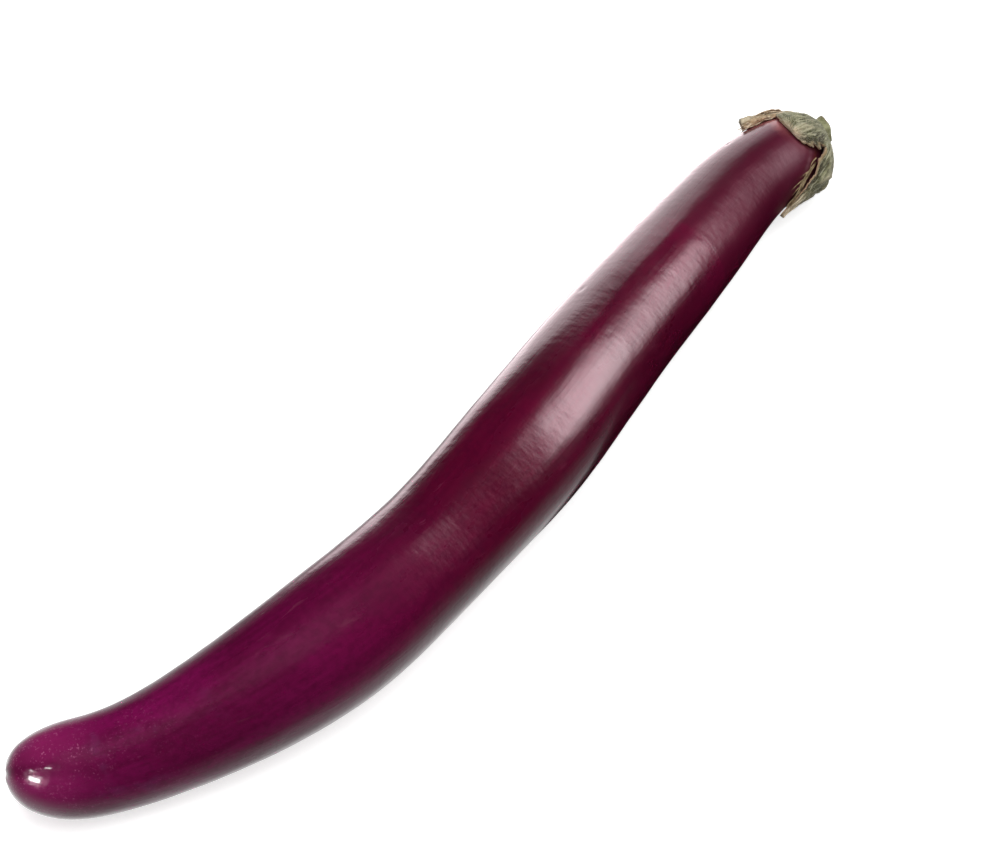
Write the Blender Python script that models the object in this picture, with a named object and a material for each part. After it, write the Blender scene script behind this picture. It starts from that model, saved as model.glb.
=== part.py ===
"""A long eggplant, as picked, lying on its side.

Three pieces: the fruit, the calyx that caps its stem end with withered sepals, and the short cut stub of the stem.
The frame is in metres with +Z up. +X runs from the blossom end to the stem, and the origin is on the surface
that the fruit rests on, under the middle of its box. Sizes below are in millimetres.
"""

import bisect
import math

import bmesh
import bpy
import numpy as np
from mathutils import Vector

MM = 0.001
UP = Vector((0, 0, 1))

# The fruit at each station: x and y of its middle line, its diameter, and the gap under its belly.
# The gap closes at three places, so the fruit lies on three low flat spots round its weight.
FRUIT_STATIONS = (
    (-168.0, 26.2, 28.0, 2.6),
    (-152.0, 12.9, 28.5, 0.3),
    (-126.0, 0.3, 32.3, 0.2),
    (-96.0, -8.3, 38.4, 0.9),
    (-72.0, -11.0, 40.3, 0.6),
    (-34.0, -9.7, 38.3, 0.0),
    (3.0, -6.3, 40.2, 0.5),
    (58.0, 3.8, 37.2, 0.9),
    (103.0, 11.4, 33.6, 0.0),
    (135.0, 15.2, 28.6, 1.7),
    (161.6, 11.4, 22.8, 5.6),
)
FRUIT_SINK = 0.3
BLOSSOM_CAP = 24.0
BLOSSOM_BLUNTNESS = 2.5
STEM_CAP = 17.0
STEM_BLUNTNESS = 3.0
FLATTENING = 0.012
LOBING = 0.006
LOBE_TWIST = 0.012
FRUIT_SIDES = 48
RING_STEP = 5.0
CAP_RINGS = 8

# The notches between the sepals, in order round the stem: the angle from the top towards +Y, the distance over
# the skin from the middle of the stem end, and how far the dry cup has come loose from the skin there.
NOTCHES = (
    (-51.0, 12.5, 2.4),
    (38.0, 17.0, 0.0),
    (84.0, 15.0, 0.0),
    (132.0, 14.5, 0.0),
    (182.0, 14.0, 0.4),
    (232.0, 14.5, 3.0),
)
# Each sepal from its notch to the next: its length, how fast it narrows, how far it arches and its tip lifts off
# the skin, and how far the tip sways, in degrees.
SEPALS = (
    (19.5, 0.45, 0.2, 0.3, 0.0),
    (26.5, 0.7, 0.2, 0.5, -2.0),
    (33.0, 1.1, 0.7, 1.4, -4.0),
    (27.0, 0.9, 0.4, 0.2, 5.0),
    (31.0, 1.1, 0.9, 0.6, -5.0),
    (36.5, 1.5, 0.6, 0.2, -18.0),
)
TIP_HALF_WIDTH = 0.5
HUB_RADIUS = 5.2
HUB_HEIGHT = 1.3
HUB_HOLLOW = 0.5
CUP_THICKNESS = 1.1
BLADE_THICKNESS = 0.8
FIT_GAP = 0.35
MIDRIB = 0.35
SEPAL_COLUMNS = 8
CUP_ROWS = 6
BLADE_ROWS = 11

STEM_LENGTH = 3.2
STEM_BEND = 10.0
STEM_LEAN = 50.0
STEM_DIAMETERS = (9.2, 8.4, 8.6)
STEM_CUT_SLANT = 20.0
STEM_RIDGES = 5
STEM_RIDGE = 0.25
STEM_SIDES = 30
STEM_RINGS = 5


class Spline:
    """A natural cubic spline through the stations, so that the surface's curvature has no jumps."""

    def __init__(self, knots, values):
        step = np.diff(knots)
        slope = np.diff(values) / step
        system = np.eye(len(knots))
        right = np.zeros(len(knots))
        for i in range(1, len(knots) - 1):
            system[i, i - 1 : i + 2] = step[i - 1], 2 * (step[i - 1] + step[i]), step[i]
            right[i] = 6 * (slope[i] - slope[i - 1])
        bend = np.linalg.solve(system, right)
        self.knots = [float(knot) for knot in knots]
        self.terms = [
            (
                float(values[i]),
                float(slope[i] - step[i] * (2 * bend[i] + bend[i + 1]) / 6),
                float(bend[i] / 2),
                float((bend[i + 1] - bend[i]) / (6 * step[i])),
            )
            for i in range(len(step))
        ]

    def __call__(self, at):
        i = min(max(bisect.bisect_right(self.knots, at) - 1, 0), len(self.terms) - 1)
        t = at - self.knots[i]
        a, b, c, d = self.terms[i]
        return a + t * (b + t * (c + t * d))


class Fruit:
    """The fruit's skin as a surface: any point on it or above it, from a distance along and an angle around."""

    def __init__(self):
        x, y, diameter, gap = np.array(FRUIT_STATIONS).T
        knots = np.concatenate([[0.0], np.cumsum(np.hypot(np.diff(x), np.diff(y)))])
        self.length = float(knots[-1])
        self.x, self.y, self.gap = Spline(knots, x), Spline(knots, y), Spline(knots, gap)
        self.body = Spline(knots, diameter / 2)
        # Distance over the skin from the middle of the stem end, against distance along the middle line.
        self.inward = [60 * (i / 400) ** 2 for i in range(401)]
        radii = [self.radius(self.length - inward) for inward in self.inward]
        self.over_skin = np.concatenate([[0.0], np.cumsum(np.hypot(np.diff(self.inward), np.diff(radii)))])

    def radius(self, along):
        """The radius, with both ends rounded off without a jump in curvature."""
        blossom = min(max(along / BLOSSOM_CAP, 0), 1)
        stem = min(max((self.length - along) / STEM_CAP, 0), 1)
        rounding = (1 - (1 - blossom) ** BLOSSOM_BLUNTNESS) * (1 - (1 - stem) ** STEM_BLUNTNESS)
        return self.body(along) * math.sqrt(rounding)

    def section(self, along, around):
        """How far the cross-section departs from a circle: a little flat, and faintly three-sided."""
        return 1 + FLATTENING * math.cos(2 * around) + LOBING * math.cos(3 * around + LOBE_TWIST * along)

    def middle(self, along):
        height = self.body(along) * self.section(along, math.pi) + self.gap(along) - FRUIT_SINK
        return Vector((self.x(along), self.y(along), height))

    def axes(self, along):
        """The direction along the fruit, and the two directions across it that angles are measured from."""
        ahead = self.middle(min(along + 0.5, self.length))
        forward = (ahead - self.middle(max(along - 0.5, 0))).normalized()
        sideways = UP.cross(forward).normalized()
        return forward, forward.cross(sideways), sideways

    def point(self, along, around, height=0.0):
        """A point at a height over the skin, measured square to it."""
        forward, upward, sideways = self.axes(along)
        outward = upward * math.cos(around) + sideways * math.sin(around)
        before, after = max(along - 0.05, 0.0), min(along + 0.05, self.length)
        normal = outward * (after - before) - forward * (self.radius(after) - self.radius(before))
        radius = self.radius(along) * self.section(along, around)
        return self.middle(along) + outward * radius + normal.normalized() * height

    def from_stem(self, distance, around, height=0.0):
        """A point at a distance over the skin from the middle of the stem end."""
        inward = float(np.interp(distance, self.over_skin, self.inward))
        return self.point(self.length - inward, around, height)


def new_object(name, bm, colour, roughness):
    """Turns a bmesh in millimetres into a smooth-shaded object in metres, with its own material."""
    bmesh.ops.recalc_face_normals(bm, faces=bm.faces)
    for vertex in bm.verts:
        vertex.co *= MM
    mesh = bpy.data.meshes.new(name)
    bm.to_mesh(mesh)
    bm.free()
    mesh.shade_smooth()
    obj = bpy.data.objects.new(name, mesh)
    bpy.context.scene.collection.objects.link(obj)
    material = bpy.data.materials.new(name)
    material.use_nodes = True
    shader = material.node_tree.nodes["Principled BSDF"]
    shader.inputs["Base Color"].default_value = (*colour, 1)
    shader.inputs["Roughness"].default_value = roughness
    shader.inputs["Metallic"].default_value = 0
    mesh.materials.append(material)
    return obj


def fan(bm, centre, ring):
    """Closes a ring of vertices with triangles round one centre vertex."""
    for a, b in zip(ring, ring[1:] + ring[:1]):
        bm.faces.new((centre, a, b))


def bridge(bm, ring, next_ring):
    """Joins two closed rings, each quad split the same way."""
    for i in range(len(ring)):
        j = (i + 1) % len(ring)
        bm.faces.new((ring[i], ring[j], next_ring[j]))
        bm.faces.new((ring[i], next_ring[j], next_ring[i]))


def centre_of(vertices):
    return sum((vertex.co for vertex in vertices), Vector()) / len(vertices)


def build_fruit(fruit):
    """Rings along the middle line, closer together at both rounded ends, and flat where they meet the surface."""
    blossom = [BLOSSOM_CAP * (i / CAP_RINGS) ** 2 for i in range(1, CAP_RINGS)]
    stem = [fruit.length - STEM_CAP * (i / CAP_RINGS) ** 2 for i in range(CAP_RINGS - 1, 0, -1)]
    count = round((fruit.length - BLOSSOM_CAP - STEM_CAP) / RING_STEP)
    body = [float(along) for along in np.linspace(BLOSSOM_CAP, fruit.length - STEM_CAP, count + 1)]
    bm = bmesh.new()
    rings = []
    for along in blossom + body + stem:
        turn = [2 * math.pi * i / FRUIT_SIDES for i in range(FRUIT_SIDES)]
        rings.append([bm.verts.new(fruit.point(along, around)) for around in turn])
    for ring, next_ring in zip(rings, rings[1:]):
        bridge(bm, ring, next_ring)
    fan(bm, bm.verts.new(fruit.middle(0)), rings[0])
    fan(bm, bm.verts.new(fruit.middle(fruit.length)), rings[-1])
    for vertex in bm.verts:
        vertex.co.z = max(vertex.co.z, 0)
    return new_object("fruit", bm, (0.11, 0.004, 0.035), 0.25)


def sepal_grid(fruit, notch, next_notch, sepal):
    """One sepal as two grids of points, its outer and inner face, from the hub to its tip."""
    (right, right_depth, right_slack), (left, left_depth, left_slack) = notch, next_notch
    length, narrowing, arch, lift, sway = sepal
    half_spread = math.radians(left - right) / 2
    outer, inner = [], []
    for row in range(CUP_ROWS + BLADE_ROWS + 1):
        in_cup = min(row / CUP_ROWS, 1.0)
        t = max(row - CUP_ROWS, 0) / BLADE_ROWS
        outer_row, inner_row = [], []
        for column in range(SEPAL_COLUMNS + 1):
            across = 2 * column / SEPAL_COLUMNS - 1
            share = abs(across)
            depth = right_depth + (left_depth - right_depth) * (across + 1) / 2 + (1 - share**2) * 1.5
            reach = HUB_RADIUS + (depth - HUB_RADIUS) * in_cup + (length - depth) * t
            radius = fruit.radius(fruit.length - float(np.interp(reach, fruit.over_skin, fruit.inward)))
            taper = (1 - t) ** narrowing
            half = half_spread * taper + TIP_HALF_WIDTH / radius * (1 - taper)
            around = math.radians((left + right) / 2 + sway * t**1.5) + across * half
            low = FIT_GAP + arch * math.sin(math.pi * t) ** 2 * (1 - 0.3 * share) + lift * t**2
            slack = right_slack + (left_slack - right_slack) * (across + 1) / 2
            low += slack * in_cup * (1 - t) ** 1.5
            thickness = CUP_THICKNESS + (BLADE_THICKNESS - CUP_THICKNESS) * max(in_cup * 0.5, t)
            thickness += MIDRIB * (1 - share) ** 2 * (1 - t) + HUB_HEIGHT * (1 - in_cup) ** 2.2
            inner_row.append(fruit.from_stem(reach, around, low))
            outer_row.append(fruit.from_stem(reach, around, low + thickness))
        outer.append(outer_row)
        inner.append(inner_row)
    return outer, inner


def build_calyx(fruit):
    """A cup over the stem end with pointed sepals, as one closed shell a little clear of the skin."""
    bm = bmesh.new()
    outer_hub, inner_hub = [], []
    next_notches = NOTCHES[1:] + ((NOTCHES[0][0] + 360, *NOTCHES[0][1:]),)
    for notch, next_notch, sepal in zip(NOTCHES, next_notches, SEPALS):
        outer, inner = (
            [[bm.verts.new(point) for point in row] for row in face]
            for face in sepal_grid(fruit, notch, next_notch, sepal)
        )
        outer_hub += outer[0][:-1]
        inner_hub += inner[0][:-1]
        for grid in (outer, inner):
            for row, next_row in zip(grid, grid[1:]):
                for i in range(SEPAL_COLUMNS):
                    bm.faces.new((row[i], row[i + 1], next_row[i + 1]))
                    bm.faces.new((row[i], next_row[i + 1], next_row[i]))
        edge = [(outer[r][0], inner[r][0]) for r in range(CUP_ROWS, CUP_ROWS + BLADE_ROWS + 1)]
        edge += [(outer[-1][c], inner[-1][c]) for c in range(1, SEPAL_COLUMNS + 1)]
        edge += [(outer[r][-1], inner[r][-1]) for r in range(CUP_ROWS + BLADE_ROWS - 1, CUP_ROWS - 1, -1)]
        for (top, bottom), (next_top, next_bottom) in zip(edge, edge[1:]):
            bm.faces.new((top, next_top, next_bottom))
            bm.faces.new((top, next_bottom, bottom))
    pole = fruit.middle(fruit.length) + fruit.axes(fruit.length)[0] * (FIT_GAP + HUB_HOLLOW)
    fan(bm, bm.verts.new(pole), inner_hub)
    hub_top = centre_of(outer_hub)
    fan(bm, bm.verts.new(hub_top), outer_hub)
    bmesh.ops.remove_doubles(bm, verts=bm.verts, dist=0.01)
    new_object("calyx", bm, (0.2, 0.2, 0.1), 0.8)
    return hub_top


def build_stem(fruit, hub_top):
    """The cut stub: a ridged round bar that leans back and up a little and ends in a slanted cut."""
    forward, upward, sideways = fruit.axes(fruit.length)
    lean, bend = math.radians(STEM_LEAN), math.radians(STEM_BEND)
    towards = upward * math.sin(lean) + sideways * math.cos(lean)
    across = forward.cross(towards)
    turn_radius = STEM_LENGTH / bend
    diameter = Spline(np.linspace(0, 1, len(STEM_DIAMETERS)), np.array(STEM_DIAMETERS))
    start = hub_top + forward * FIT_GAP
    bm = bmesh.new()
    rings = []
    for i in range(STEM_RINGS + 1):
        t = i / STEM_RINGS
        angle = bend * t
        centre = start + forward * (turn_radius * math.sin(angle)) + towards * (turn_radius * (1 - math.cos(angle)))
        along = forward * math.cos(angle) + towards * math.sin(angle)
        side = across.cross(along)
        ring = []
        for j in range(STEM_SIDES):
            around = 2 * math.pi * j / STEM_SIDES
            radius = diameter(t) / 2 + STEM_RIDGE * math.cos(STEM_RIDGES * around)
            offset = (side * math.cos(around) + across * math.sin(around)) * radius
            slant = math.tan(math.radians(STEM_CUT_SLANT)) * offset.dot(side) * t**4
            ring.append(bm.verts.new(centre + offset + along * slant))
        rings.append(ring)
    for ring, next_ring in zip(rings, rings[1:]):
        bridge(bm, ring, next_ring)
    for ring in (rings[0], rings[-1]):
        fan(bm, bm.verts.new(centre_of(ring)), ring)
    new_object("stem", bm, (0.22, 0.22, 0.12), 0.75)


def main():
    for obj in list(bpy.data.objects):
        bpy.data.objects.remove(obj)
    fruit = Fruit()
    build_fruit(fruit)
    hub_top = build_calyx(fruit)
    build_stem(fruit, hub_top)


main()
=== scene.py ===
# %% [markdown]
# # A long eggplant, dressed for the camera
#
# The measured model of one eggplant comes in as a fixed frame: the fruit, its withered calyx and the stub of its
# stem. This lesson builds the same three forms again, finer, and gives each one a finish made only of nodes.
# The fruit lies on its side along X, and one unit is a metre. Sizes in the text and in the tables are in
# millimetres, because that is how a vegetable is measured.

# %% Load the frame
import bisect
import math
import random

import bpy
import numpy as np
from mathutils import Matrix, Vector, noise


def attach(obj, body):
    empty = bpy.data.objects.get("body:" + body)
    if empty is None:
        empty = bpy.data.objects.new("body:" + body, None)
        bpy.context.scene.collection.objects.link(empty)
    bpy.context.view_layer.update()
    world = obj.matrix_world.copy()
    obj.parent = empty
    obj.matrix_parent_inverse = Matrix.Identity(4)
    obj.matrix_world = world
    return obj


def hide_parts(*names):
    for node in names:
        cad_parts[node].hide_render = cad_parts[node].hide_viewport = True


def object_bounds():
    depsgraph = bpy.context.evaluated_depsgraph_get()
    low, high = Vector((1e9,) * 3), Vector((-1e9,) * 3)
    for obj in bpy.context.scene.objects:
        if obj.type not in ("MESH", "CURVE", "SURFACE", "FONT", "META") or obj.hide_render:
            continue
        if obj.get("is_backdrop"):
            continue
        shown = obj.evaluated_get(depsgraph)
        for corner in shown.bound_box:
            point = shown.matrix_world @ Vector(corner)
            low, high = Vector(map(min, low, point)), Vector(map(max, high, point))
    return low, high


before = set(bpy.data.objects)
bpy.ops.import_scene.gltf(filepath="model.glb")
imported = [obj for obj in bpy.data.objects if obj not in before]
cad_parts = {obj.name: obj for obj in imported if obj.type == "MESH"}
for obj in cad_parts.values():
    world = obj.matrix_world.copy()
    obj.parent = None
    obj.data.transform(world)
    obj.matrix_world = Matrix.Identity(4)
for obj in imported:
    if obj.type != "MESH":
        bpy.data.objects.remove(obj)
frame_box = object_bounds()
MM = 0.001
UP = Vector((0, 0, 1))
print("frame nodes", sorted(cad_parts), "box", [[round(v / MM, 1) for v in corner] for corner in frame_box])

# %% [markdown]
# ## The camera
#
# A long lens from about 0.8 m keeps the fruit's two ends nearly the same size. The camera looks down at 55 degrees
# from the side of the blossom end, so the fruit crosses the picture from lower left to upper right. Three vectors
# say it all: the camera's right, its up, and the direction back towards it.

# %% Set up the camera
AZIMUTH, ELEVATION = math.radians(-46.6), math.radians(55.0)
DISTANCE, ASIDE, UPWARDS = 0.8348, 0.0014, 0.0183
level = math.cos(ELEVATION)
back = Vector((math.sin(AZIMUTH) * level, -math.cos(AZIMUTH) * level, math.sin(ELEVATION)))
right = Vector((math.cos(AZIMUTH), math.sin(AZIMUTH), 0))
above = back.cross(right)
eye = back * DISTANCE + right * ASIDE + above * UPWARDS

camera = bpy.data.objects.new("camera", bpy.data.cameras.new("camera"))
bpy.context.scene.collection.objects.link(camera)
camera.data.lens = 100
camera.data.sensor_width = 36
camera.data.clip_start = 0.05
camera.matrix_world = Matrix.Translation(eye) @ Matrix((right, above, back)).transposed().to_4x4()
bpy.context.scene.camera = camera
bpy.context.scene.view_settings.view_transform = "Standard"
print("camera at", [round(v, 3) for v in eye])

# %% [markdown]
# ## Expressions that write shader nodes
#
# Every finish here is a tree of nodes. Wiring nodes by hand hides the idea, so a small class wraps a socket and
# lets ordinary sums add the Math nodes: `1 - mask` or `height * 0.3` reads as it works. Colours and vectors have
# their own nodes, Mix and Vector Math, because a Math node would turn a colour grey. Any other node comes from one
# method, `node`, which takes the node's type, its settings and its sockets.

# %% A socket that can be added and multiplied
class Wire:
    """One output socket of a material's tree."""

    def __init__(self, tree, socket):
        self.tree, self.socket = tree, socket

    def node(self, kind, settings, sockets, output=0):
        """Adds a node: its settings first, then a value or a wire for each socket. Returns one of its outputs."""
        node = self.tree.nodes.new(kind)
        for name, value in settings.items():
            setattr(node, name, value)
        for name, value in sockets.items():
            if isinstance(value, Wire):
                self.tree.links.new(value.socket, node.inputs[name])
            else:
                node.inputs[name].default_value = value
        return Wire(self.tree, node.outputs[output])

    def maths(self, operation, *values):
        return self.node("ShaderNodeMath", {"operation": operation}, dict(enumerate(values)))

    def __add__(self, other):
        return self.maths("ADD", self, other)

    def __radd__(self, other):
        return self.maths("ADD", other, self)

    def __sub__(self, other):
        return self.maths("SUBTRACT", self, other)

    def __rsub__(self, other):
        return self.maths("SUBTRACT", other, self)

    def __mul__(self, other):
        return self.maths("MULTIPLY", self, other)

    def __rmul__(self, other):
        return self.maths("MULTIPLY", other, self)

    def fade(self, start, end):
        """0 at start and 1 at end, with a smooth run between them."""
        return self.node(
            "ShaderNodeMapRange",
            {"interpolation_type": "SMOOTHSTEP"},
            {"Value": self, "From Min": start, "From Max": end},
        )

    def stretch(self, x, y, z):
        """A vector, with each part multiplied by its own number."""
        return self.node("ShaderNodeVectorMath", {"operation": "MULTIPLY"}, {0: self, 1: (x, y, z)})

    def part(self, axis):
        return self.node("ShaderNodeSeparateXYZ", {}, {0: self}, axis)

    def cloud(self, scale, detail=2.0, roughness=0.5, distortion=0.0):
        """Soft noise from 0 to 1 at each point of a vector."""
        shape = {"Scale": scale, "Detail": detail, "Roughness": roughness, "Distortion": distortion}
        return self.node("ShaderNodeTexNoise", {}, {"Vector": self, **shape})

    def blend(self, first, second):
        """The first colour where the wire is 0, and the second where it is 1."""
        return self.node("ShaderNodeMix", {"data_type": "RGBA"}, {0: self, 6: first, 7: second}, 2)


def paint(red, green, blue):
    """A colour as a screen shows it, from 0 to 255, turned into the light that shaders work with."""
    shares = (value / 255 for value in (red, green, blue))
    return (*(s / 12.92 if s < 0.04045 else ((s + 0.055) / 1.055) ** 2.4 for s in shares), 1.0)


def new_finish(name, **constants):
    """A material, its Principled shader with the sockets that stay the same all over, and a wire to start from."""
    material = bpy.data.materials.new(name)
    material.use_nodes = True
    shader = material.node_tree.nodes["Principled BSDF"]
    for socket, value in constants.items():
        shader.inputs[socket.replace("_", " ")].default_value = value
    return material, shader, Wire(material.node_tree, None)


def connect(shader, **wires):
    for socket, wire in wires.items():
        wire.tree.links.new(wire.socket, shader.inputs[socket.replace("_", " ")])


def attribute(start, name, output):
    """Reads a value stored on the mesh: output 1 is a vector, output 2 a number."""
    return start.node("ShaderNodeAttribute", {"attribute_name": name}, {}, output)


print("deep purple as light:", [round(v, 4) for v in paint(96, 10, 50)])

# %% [markdown]
# ## The table and the light
#
# The fruit lies on a plain white table that glows a little, like a light table, so its shadows stay pale. Deep
# purple skin shows almost nothing but what it mirrors, so the light comes in two kinds. Two diffusers give the
# skin its colour. Cards that only the gloss can see give it its shine, which is how a product photographer works
# too. The table is hidden from the gloss and from bounced light, so that its glow can be chosen freely.

# %% Make the table
def rectangle(name, x, y):
    """A mesh of one flat face, from the half sizes along x and y."""
    mesh = bpy.data.meshes.new(name)
    mesh.from_pydata([(-x, -y, 0), (x, -y, 0), (x, y, 0), (-x, y, 0)], [], [(0, 1, 2, 3)])
    return mesh


SIDE = 6.0
floor_mesh = rectangle("table", SIDE, SIDE)
floor = bpy.data.objects.new("table", floor_mesh)
floor.location.z = -0.0001
floor.visible_glossy = False
floor.visible_diffuse = False
bpy.context.scene.collection.objects.link(floor)
floor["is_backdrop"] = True

material, shader, start = new_finish("table_white", Roughness=0.8, Specular_IOR_Level=0.1, Emission_Strength=0.68)
shader.inputs["Emission Color"].default_value = (1, 1, 1, 1)
grain = start.node("ShaderNodeTexCoord", {}, {}, 3).cloud(30.0)
connect(shader, Base_Color=grain.blend(paint(228, 228, 227), paint(232, 232, 231)))
floor_mesh.materials.append(material)
print("table", SIDE * 2, "m wide")

# %% [markdown]
# A diffuser is a big soft source. The one overhead lights the fruit and casts the pale shadow under it, and the
# one at the right fills the side that the camera sees. Neither is mirrored, because a dark glossy skin would show
# each as a hard white rectangle.


# %% Hang the diffusers
def light_panel(name, direction, distance, width, height, brightness):
    """A diffuser that lights the scene but isn't mirrored. Brightness is light per area."""
    light = bpy.data.lights.new(name, "AREA")
    light.shape = "RECTANGLE"
    light.size, light.size_y = width, height
    light.energy = brightness * math.pi * width * height
    panel = bpy.data.objects.new(name, light)
    toward = Vector(direction).normalized()
    turn = toward.to_track_quat("Z", "Y").to_matrix().to_4x4()
    panel.matrix_world = Matrix.Translation(toward * distance) @ turn
    panel.visible_camera = panel.visible_glossy = False
    bpy.context.scene.collection.objects.link(panel)
    print(name, [round(v, 2) for v in panel.location])


light_panel("overhead_diffuser", (-0.05, -0.06, 1.0), 1.5, 1.2, 1.2, 4.2)
light_panel("side_diffuser", (0.57, -0.48, 0.67), 1.3, 0.5, 1.2, 2.3)

# %% [markdown]
# What the gloss sees is a set of glowing cards with soft edges. One tall card on the right makes the long highlight
# on the far half. A low one behind makes the bright band along the upper edge, and three small, very bright ones
# make the hot spots on the blossom end. Two black cards, the flags, stand close to the fruit. They hide the tall
# card from the neck and from the middle, so that its highlight fades out at both ends.


# %% Stand the cards
def mirror_card(name, centre, facing, across, width, height, soft, brightness, tint=(1, 1, 1)):
    """A card that only the gloss sees: glowing, or a black flag where the brightness is 0.

    Its centre is in millimetres, its sizes and the widths of its soft edges in metres.
    """
    facing = Vector(facing).normalized()
    across = Vector(across)
    across = (across - facing * across.dot(facing)).normalized()
    x, y = width / 2, height / 2
    mesh = rectangle(name, x, y)
    card = bpy.data.objects.new(name, mesh)
    turn = Matrix((across, facing.cross(across), facing)).transposed().to_4x4()
    card.matrix_world = Matrix.Translation(Vector(centre) * MM) @ turn
    card.visible_camera = card.visible_diffuse = card.visible_shadow = card.visible_transmission = False
    bpy.context.scene.collection.objects.link(card)
    card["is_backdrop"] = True
    finish, shader, start = new_finish(name, Emission_Strength=brightness, Specular_IOR_Level=0.0)
    finish.cycles.emission_sampling = "NONE"
    shader.inputs["Base Color"].default_value = (0, 0, 0, 1)
    place = start.node("ShaderNodeTexCoord", {}, {}, 3)
    sides = start.maths("ABSOLUTE", place.part(0)).fade(x, x - soft[0])
    ends = start.maths("ABSOLUTE", place.part(1)).fade(y, y - soft[1])
    if brightness:
        connect(shader, Emission_Color=(sides * ends).blend((0, 0, 0, 1), (*tint, 1)))
    else:
        connect(shader, Alpha=sides * ends)
    mesh.materials.append(finish)
    print(name, "at", [round(v, 2) for v in card.location])


ROSY = (1.0, 0.87, 0.90)
ALONG_FRUIT = (0.76, 0.48, -0.44)
mirror_card("tall_card", (625, -405, 606), (0.64, -0.44, 0.63), ALONG_FRUIT, 0.72, 1.45, (0.34, 0.55), 19.0, ROSY)
mirror_card("low_card", (345, 250, -2), (0, 1, 0), (0.772, 0, -0.636), 0.45, 0.60, (0.025, 0.08), 3.6, ROSY)

blossom = Vector((-160, 18, 14))
HOT_DISTANCE, HOT_ACROSS, HOT_SOFT, HOT_BRIGHTNESS = 1200, (0.3, -1.0, 0.1), (0.03, 0.02), 55.0
for name, toward, width, height in (
    ("hot_card", (-0.93, 0.05, 0.37), 0.42, 0.17),
    ("small_card_left", (-0.86, 0.30, 0.55), 0.16, 0.05),
    ("small_card_right", (-0.55, 0.00, 0.66), 0.16, 0.05),
):
    toward = Vector(toward).normalized()
    centre = blossom + toward * HOT_DISTANCE
    mirror_card(name, centre, toward, HOT_ACROSS, width, height, HOT_SOFT, HOT_BRIGHTNESS)

FLAG_FACING, FLAG_SOFT = (0.60, -0.53, 0.60), (0.012, 0.05)
for name, centre, width, height in (
    ("neck_flag", (295, -31, 73), 0.19, 0.40),
    ("middle_flag", (-22, -95, 152), 0.18, 0.36),
):
    mirror_card(name, centre, FLAG_FACING, ALONG_FRUIT, width, height, FLAG_SOFT, 0.0)

# %% [markdown]
# The rest of what the skin mirrors is the sky dome: dark above, and below the horizon as pale as the table. The
# camera itself sees a white background, and bounced light gets a little of it everywhere.

# %% Paint the sky dome
world = bpy.data.worlds.new("studio")
bpy.context.scene.world = world
world.use_nodes = True
sky = Wire(world.node_tree, None)
direction = sky.node("ShaderNodeTexCoord", {}, {}, 0)
TABLE_GLOW, DARK_GLOW, CAMERA_WHITE, ROOM_GLOW = 1.15, 0.008, 1.1, 0.22
table_share = (direction.part(1) * 0.15 - direction.part(2)).fade(0.0, 1.05)
mirrored = table_share * TABLE_GLOW + DARK_GLOW
is_camera = sky.node("ShaderNodeLightPath", {}, {}, 0)
is_gloss = sky.node("ShaderNodeLightPath", {}, {}, 3)
brightness = is_camera * CAMERA_WHITE + is_gloss * mirrored + (1 - is_camera) * (1 - is_gloss) * ROOM_GLOW
background = world.node_tree.nodes["Background"]
background.inputs["Color"].default_value = (1, 1, 1, 1)
world.node_tree.links.new(brightness.socket, background.inputs["Strength"])
print("sky dome: white to the camera, dark above to the gloss")

# %% [markdown]
# The gloss would pick up the pale table all along the lower right edge. A black card on the table, seen only by the
# gloss, keeps that edge deep and dark on the far half. It comes out from under the fruit slowly, so that the dark
# edge has no clear beginning.

# %% Lay the black card
black_mesh = bpy.data.meshes.new("black_card")
corners = ((-12, -16), (0, -25), (30, -33), (100, -66), (160, -150), (260, -150), (230, 20), (0, 5))
black_mesh.from_pydata([(x * MM, y * MM, -0.00005) for x, y in corners], [], [tuple(range(len(corners)))])
black_card = bpy.data.objects.new("black_card", black_mesh)
black_card.visible_camera = black_card.visible_diffuse = black_card.visible_shadow = False
bpy.context.scene.collection.objects.link(black_card)
black_card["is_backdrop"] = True
material, shader, start = new_finish("black_paper", Roughness=0.9, Specular_IOR_Level=0.0)
weave = start.node("ShaderNodeTexCoord", {}, {}, 3).cloud(300.0)
connect(shader, Base_Color=weave.blend(paint(12, 10, 12), paint(20, 17, 20)))
black_mesh.materials.append(material)
print("black card with", len(corners), "corners")

# %% [markdown]
# ## The fruit's form
#
# The fruit is a bent, tapering tube with two rounded ends. One smooth curve carries its middle line, its thickness
# and the gap under its belly, from the same stations as the measured model, so the fine mesh and the solid agree.
# Any point on the skin is found from two numbers: how far along the fruit, and how far round from the top.

# %% Stations of the fruit
FRUIT_STATIONS = (  # x and y of the middle line, diameter, gap under the belly
    (-168.0, 26.2, 28.0, 2.6),
    (-152.0, 12.9, 28.5, 0.3),
    (-126.0, 0.3, 32.3, 0.2),
    (-96.0, -8.3, 38.4, 0.9),
    (-72.0, -11.0, 40.3, 0.6),
    (-34.0, -9.7, 38.3, 0.0),
    (3.0, -6.3, 40.2, 0.5),
    (58.0, 3.8, 37.2, 0.9),
    (103.0, 11.4, 33.6, 0.0),
    (135.0, 15.2, 28.6, 1.7),
    (161.6, 11.4, 22.8, 5.6),
)
FRUIT_SINK = 0.3
BLOSSOM_CAP, BLOSSOM_BLUNTNESS = 24.0, 2.5
STEM_CAP, STEM_BLUNTNESS = 17.0, 3.0
FLATTENING, LOBING, LOBE_TWIST = 0.012, 0.006, 0.012


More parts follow.
